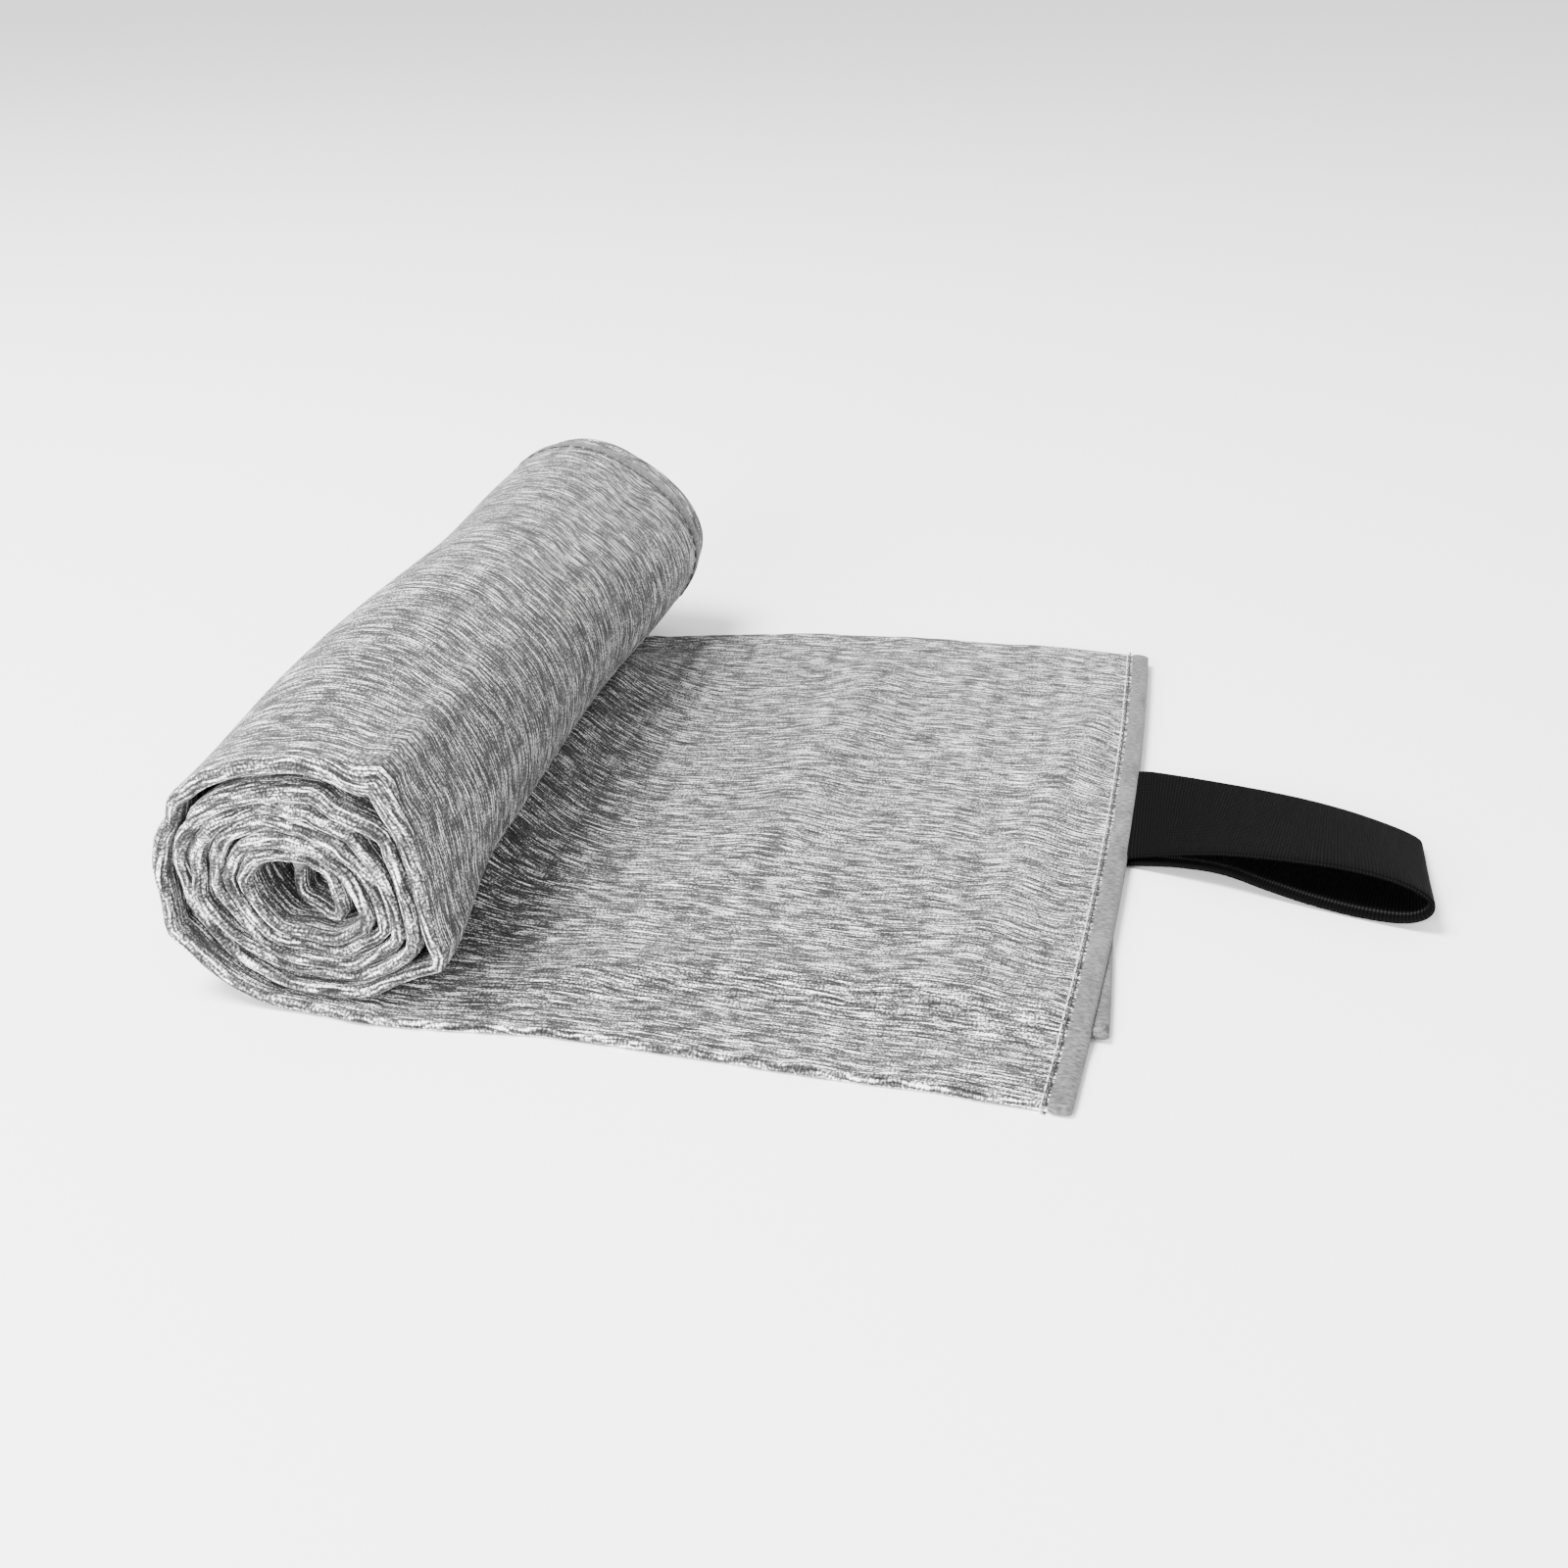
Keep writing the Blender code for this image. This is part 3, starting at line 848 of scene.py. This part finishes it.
def sweep_band(name, centre, across_dir, out_dir, run, width, thick, material, round_to=2.3, ring=16):
    """across_dir is the band's width direction, out_dir its thickness, run the distance along it."""
    a, b = oval(width, thick, round_to, ring)
    count = len(centre)
    rings = centre[:, None] + across_dir[:, None] * a[None, :, None] + out_dir[:, None] * b[None, :, None]
    points = rings.reshape(-1, 3)
    points[:, 2] = np.maximum(points[:, 2], 0)
    i, j = np.meshgrid(np.arange(count - 1), np.arange(ring), indexing="ij")
    first, second = i * ring + j, i * ring + (j + 1) % ring
    sides = np.stack([first, second, second + ring, first + ring], -1).reshape(-1, 4)
    caps = [np.arange(ring)[::-1].tolist(), (np.arange(ring) + (count - 1) * ring).tolist()]

    girth = np.hypot(np.diff(np.append(a, a[0])), np.diff(np.append(b, b[0])))
    around = np.concatenate([[0], np.cumsum(girth)])
    u = run - run[0]
    corner = np.stack([
        np.stack([u[i], around[j]], -1),
        np.stack([u[i], around[j + 1]], -1),
        np.stack([u[i + 1], around[j + 1]], -1),
        np.stack([u[i + 1], around[j]], -1),
    ], 2).reshape(-1, 2)
    cap = np.stack([a, b], -1)
    cloth_uv = np.concatenate([corner, cap[::-1] + width, cap + width]) * MM
    beside = around[-1] + 3 * width
    bake_uv = np.concatenate([corner, cap[::-1] + [width, beside], cap + [3 * width, beside]])
    bake_uv /= 1.02 * max(u[-1], around[-1]) + 6 * width
    maps = {"OFBake": bake_uv, "cloth": cloth_uv}
    return make_piece(name, points, sides.tolist() + caps, maps, material)


# %% A helper for the hems
HEM_THICK = 1.4
EDGE = 0.3  # how far a hem stops short of the towel's corners


def hem(name, s, t, along_s):
    """A hem at distances s and t; along_s says which of the two it follows."""
    centre, along, sideways, out = frame_at(s, t)
    centre[:, 2] = np.maximum(centre[:, 2], HEM_THICK / 2)
    across_dir, run = (sideways, s) if along_s else (along, t)
    return sweep_band(name, centre, across_dir, out, run, hem_width, HEM_THICK, hem_finish)


# %% The four hems
end_t = np.unique(np.concatenate([column_t, np.linspace(T_NEAR - 2, T_TOP + 2, 21)]))
end_t[0], end_t[-1] = EDGE, towel_width - EDGE
long_s = columns_between(EDGE, towel_length - EDGE, 1.6)
middle_of_hem = hem_width / 2

end_hem = hem("end_hem_band", np.full_like(end_t, middle_of_hem), end_t, False)
side_hem = hem("side_hem_band", long_s, np.full_like(long_s, middle_of_hem), True)
tucked_hem = hem("tucked_hem_band", long_s, np.full_like(long_s, towel_width - middle_of_hem), True)
core_hem = hem("core_hem_band", np.full_like(end_t, towel_length - middle_of_hem), end_t, False)

# %% [markdown]
# ## Stitches
#
# Beside each visible hem runs a row of stitches, and on the end hem a second row of light thread.
# Each stitch is a short thread that dips into the cloth at both ends. Dashes painted on the cloth
# would look flat from the side, so we make a tiny tapered tube, copy it along the seam and join the
# copies into one piece.


# %% A row of stitches
def stitch_row(name, centre, along_dir, out_dir, length, thick, rise, material):
    """Tapered tubes along along_dir; each arches up by rise in its middle."""
    ring, steps = 6, 5
    angle = np.linspace(0, 2 * np.pi, ring, endpoint=False)
    w = np.linspace(-1, 1, steps)[:, None]
    fat = thick / 2 * np.sqrt(np.clip(1.02 - w * w, 0.02, 1))
    along = (w * length / 2 + 0 * angle).ravel()
    aside = (fat * np.cos(angle)).ravel()
    up = (fat * np.sin(angle) + rise * (1 - w ** 2)).ravel()
    side_dir = np.cross(along_dir, out_dir)
    points = centre[:, None] + along_dir[:, None] * along[:, None]
    points = points + side_dir[:, None] * aside[:, None] + out_dir[:, None] * up[:, None]
    points[..., 2] = np.maximum(points[..., 2], 0)

    i, j = np.meshgrid(np.arange(steps - 1), np.arange(ring), indexing="ij")
    first, second = i * ring + j, i * ring + (j + 1) % ring
    one = np.stack([first, first + ring, second + ring, second], -1).reshape(-1, 4)
    starts = np.arange(len(centre)) * ring * steps
    faces = (one[None] + starts[:, None, None]).reshape(-1, 4).tolist()
    for start in starts.tolist():
        last = start + ring * (steps - 1)
        faces.append(list(range(start, start + ring)))
        faces.append(list(range(last + ring - 1, last - 1, -1)))
    flat = np.stack([along, thick * np.tile(angle, steps)], -1) * MM
    corner = np.array([v for face in faces for v in face])
    maps = {"cloth": flat[corner % (ring * steps)]}
    return make_piece(name, points.reshape(-1, 3), faces, maps, material)


# %% The seams beside the hems
STITCH = 2.4
THREAD = 0.42
seam_at = hem_width + 0.4
light_at = seam_at + 0.55
on_cloth = cloth_thick / 2 + 0.08
t_steps = np.arange(3, towel_width - 3, STITCH * 1.06)
s_steps = np.arange(3, towel_length - 3, STITCH * 1.06)


def seam(name, s, t, along_s, rise, material):
    """A row of stitches on the cloth's outer face, which is the one the normal points away from."""
    centre, along, sideways, out = frame_at(s, t)
    direction = along if along_s else sideways
    return stitch_row(name, centre - out * on_cloth, direction, -out, STITCH, THREAD, rise, material)


end_stitches = seam("end_hem_stitches", np.full_like(t_steps, seam_at), t_steps, False, 0.12, dark_thread)
side_stitches = seam("side_hem_stitches", s_steps, np.full_like(s_steps, seam_at), True, 0.12, dark_thread)
light_stitches = seam(
    "end_hem_top_stitches", np.full_like(t_steps, light_at), t_steps + STITCH / 2, False, 0.1, light_thread)

# %% [markdown]
# ## The elastic loop
#
# A flat black elastic, 38 mm wide, is doubled and sewn in between the panels at the flat end. Its
# upper run arches up and over, turns round a soft tip, and comes back along the table. Because it
# is a little twisted, its near edge stands higher than its far edge. One section swept along a
# curve couldn't show that twist, so we draw each edge's route from the side, in mm from where the
# elastic leaves the hem, and stretch the band between the two.

# %% The elastic's two edges
NEAR_ROUTE = (
    (-3.2, 1.75), (0, 2.7), (7, 5.0), (16, 7.3), (28, 9.0), (38, 9.7), (46, 9.2), (51.2, 7.4), (52.4, 5.2),
    (50.8, 2.9), (47, 1.4), (40, 0.8), (32, 1.1), (24, 2.1), (16, 3.3), (8, 2.7), (0, 1.1), (-3.2, 0.62),
)
FAR_ROUTE = (
    (-3.2, 1.75), (0, 2.4), (14, 3.3), (28, 4.0), (38, 4.0), (46, 3.4), (51, 2.6), (52.8, 1.7),
    (51, 0.85), (46, 0.62), (38, 0.6), (28, 0.62), (14, 0.7), (0, 0.75), (-3.2, 0.62),
)
LOOP_SLANT = -0.23
FAR_CURL = -0.0018
EDGE_STEPS = 150


def smooth_route(points, steps):
    """A curve through all the points, with even steps between them."""
    pts = np.array(points, float)
    pts = np.vstack([2 * pts[0] - pts[1], pts, 2 * pts[-1] - pts[-2]])
    t = np.linspace(0, 1, steps, endpoint=False)[:, None]
    parts = []
    for a, b, c, d in zip(pts, pts[1:], pts[2:], pts[3:]):
        parts.append(0.5 * (2 * b + (c - a) * t + (2 * a - 5 * b + 4 * c - d) * t ** 2
                            + (3 * b - a - 3 * c + d) * t ** 3))
    return np.vstack(parts + [pts[-2:-1]])


def edge_route(points, side):
    """One long edge of the loop in the towel's frame; side is -1 for the near one, 1 for the far one."""
    curve = smooth_route(points, 12)
    share = np.linspace(0, 1, len(curve))
    evenly = np.linspace(0, 1, EDGE_STEPS)
    along, height = [np.interp(evenly, share, curve[:, k]) for k in (0, 1)]
    y = elastic_mid + side * elastic_width / 2 + LOOP_SLANT * np.clip(along, 0, None)
    y = y + (FAR_CURL * along ** 2 if side > 0 else 0)
    return np.stack([loop_x + along, y, height], -1)


# %% The loop and its sewn ends
def elastic_strip(name, near, far, thick):
    """A flat band whose two long edges follow two routes of points."""
    middle = (near + far) / 2
    wide = far - near
    width = np.linalg.norm(wide, axis=1, keepdims=True)
    out = np.cross(np.gradient(middle, axis=0), wide / width)
    out /= np.linalg.norm(out, axis=1, keepdims=True)
    run = np.concatenate([[0], np.cumsum(np.linalg.norm(np.diff(middle, axis=0), axis=1))])
    mean = float(width.mean())
    return sweep_band(
        name, middle, wide / mean, out, run, mean, thick, elastic_finish, round_to=9.0, ring=72)


TAB_THICK = 0.7
loop = elastic_strip("elastic_band", edge_route(NEAR_ROUTE, -1), edge_route(FAR_ROUTE, 1), elastic_thick)
tab_x = np.linspace(tab_low.x, tab_high.x, 8)
tab_z = np.full_like(tab_x, (tab_low.z + tab_high.z) / 2)
tab_near, tab_far = [
    np.stack([tab_x, np.full_like(tab_x, elastic_mid + side * elastic_width / 2), tab_z], -1)
    for side in (-1, 1)
]
tabs = elastic_strip("elastic_sewn_ends", tab_near, tab_far, TAB_THICK)

# %% The thread that holds the elastic
tack_low, tack_high = box_mm("elastic_seam")
tack_y = np.arange(elastic_mid - elastic_width / 2 + 1.5, elastic_mid + elastic_width / 2 - 1, 1.9)
centre = np.empty((len(tack_y), 3))
centre[:, 0] = (tack_low.x + tack_high.x) / 2
centre[:, 1] = tack_y
centre[:, 2] = (tack_low.z + tack_high.z) / 2
ahead = np.tile([0.0, 1.0, 0.0], (len(tack_y), 1))
upward = np.tile([0.0, 0.0, 1.0], (len(tack_y), 1))
tack = stitch_row("elastic_stitches", centre, ahead, upward, 1.7, 0.5, 0.05, dark_thread)

# %% [markdown]
# ## Joining the pieces to the moving bodies
#
# The flat end can be lifted off the table, so the cloth bends just right of the roll, and the
# elastic swings on its sewn ends. If each piece followed one body only, the cloth would tear at the
# bend. So pieces that cross the bend are blended over it: left of it they follow the roll, right of
# it the flat end.

# %% Ride and blend
BEND_WIDTH = 14
bend_start = (bend_x * MM, 0, 0)
bend_end = ((bend_x + BEND_WIDTH) * MM, 0, 0)
for piece in (towel, side_hem, tucked_hem, side_stitches):
    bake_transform(piece, "roll", "tail", start=bend_start, end=bend_end)
for piece in (end_hem, end_stitches, light_stitches, tabs, tack):
    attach(piece, "tail")
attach(core_hem, "roll")
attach(loop, "loop")

# %% Which plain solids the pieces replace
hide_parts("rolled_cloth", "under_lap", "tail_cloth")
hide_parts("rolled_edge_hem", "tail_edge_hem")
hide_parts("rolled_tucked_hem", "tail_tucked_hem")
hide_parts("rolled_edge_seam", "tail_edge_seam")
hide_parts("end_hem")
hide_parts("end_hem_seam")
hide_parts("core_end_hem")
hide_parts("elastic_loop")
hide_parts("elastic_ends")
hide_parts("elastic_seam")
